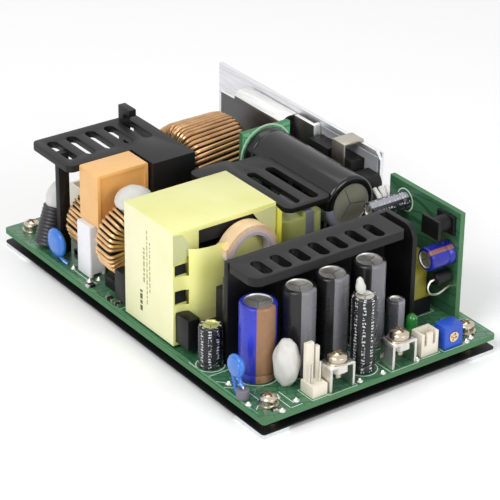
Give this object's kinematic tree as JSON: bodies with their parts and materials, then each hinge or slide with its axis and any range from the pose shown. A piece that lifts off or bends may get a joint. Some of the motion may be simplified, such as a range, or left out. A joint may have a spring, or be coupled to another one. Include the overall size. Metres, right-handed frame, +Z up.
{
  "type": "open frame power supply",
  "caption": "Open frame mains power supply: circuit board of transformers, chokes, capacitors and covers on an aluminium chassis with a side wall.",
  "frame": {"origin": "centre of the chassis footprint on the surface it stands on", "axes": "+X across the unit towards the side wall, +Y along the unit towards the input end, +Z up"},
  "size_m": [0.0762, 0.127, 0.0419],
  "materials": {
    "aluminium_sheet": "smooth bright sheet",
    "black_film": "satin polymer sheet",
    "board_green": "glossy solder mask",
    "plated_steel": "bright tin and nickel plate",
    "spring_steel": "satin spring steel",
    "ferrite": "matt sintered ferrite",
    "tape_yellow": "satin polyester tape",
    "lead_tape": "wrapped lead-out band",
    "moulding_black": "glass-filled moulding",
    "orange_case": "moulded box with potting",
    "white_plastic": "moulded",
    "cover_black": "fine textured moulding",
    "copper_wire": "enamelled copper wire",
    "blue_coat": "dipped epoxy",
    "sleeve_black": "shrink sleeve",
    "sealant_white": "cured silicone",
    "can_black": "sleeved can with grey stripe",
    "can_grey": "sleeved can",
    "can_blue": "sleeved can with brown stripe",
    "can_navy": "sleeved can",
    "package_black": "moulded package",
    "sink_aluminium": "mill finish",
    "header_cream": "moulded nylon",
    "trimmer_blue": "moulded",
    "rotor_brass": "turned",
    "led_green": "tinted lens",
    "aux_tape": "satin polyester tape",
    "clear_film": "thin clear film",
    "wire_white": "wire insulation"
  },
  "bodies": {
    "unit": {"chassis": "aluminium_sheet", "insulating_sheet": "black_film", "main_board": "board_green", "board_spacers": "plated_steel", "board_screws": "plated_steel", "transformer_core": "ferrite", "transformer_wrap": "tape_yellow", "transformer_coil": "tape_yellow", "transformer_bobbin": "moulding_black", "transformer_lead_out": "lead_tape", "x_capacitor": "orange_case", "capacitor_stand": "white_plastic", "input_cover": "cover_black", "boost_choke": "copper_wire", "line_choke_front": "copper_wire", "line_choke_rear": "copper_wire", "choke_bases": "moulding_black", "y_capacitor": "blue_coat", "inrush_limiter": "sleeve_black", "sealant_drops": "sealant_white", "bias_capacitor": "can_black", "output_cover": "cover_black", "output_heatsink": "sink_aluminium", "output_rectifiers": "package_black", "output_capacitor_blue": "can_blue", "output_capacitor_1": "can_black", "output_capacitor_2": "can_black", "output_capacitor_3": "can_black", "filter_capacitor": "can_black", "small_capacitor": "can_grey", "output_terminal_left": "plated_steel", "output_terminal_right": "plated_steel", "terminal_screws": "plated_steel", "sense_header": "header_cream", "fan_header": "header_cream", "header_pins": "plated_steel", "trimmer_body": "trimmer_blue", "status_led": "led_green", "disc_capacitor": "blue_coat", "ferrite_sleeve": "ferrite", "control_board": "board_green", "control_capacitor": "can_grey", "control_capacitor_blue": "can_navy", "control_coil": "package_black", "control_diode": "package_black", "aux_transformer": "aux_tape", "riser_board": "board_green", "bulk_capacitor": "can_black", "choke_cover": "cover_black", "drive_transformer": "tape_yellow", "primary_heatsink": "sink_aluminium", "folded_plate": "sink_aluminium", "power_transistors": "package_black", "bridge_rectifier": "package_black", "spring_clip": "spring_steel", "insulating_cap": "sleeve_black", "wall_film": "clear_film", "input_connector": "header_cream", "white_leads": "wire_white"},
    "rotor": {"trimmer_rotor": "rotor_brass"}
  },
  "joints": [
    {"name": "trimmer_turn", "type": "hinge", "parent": "unit", "child": "rotor", "pos_m": [0.0241, -0.0625, 0.00895], "axis": [0, 1, 0], "range_deg": [-120, 120]}
  ]
}
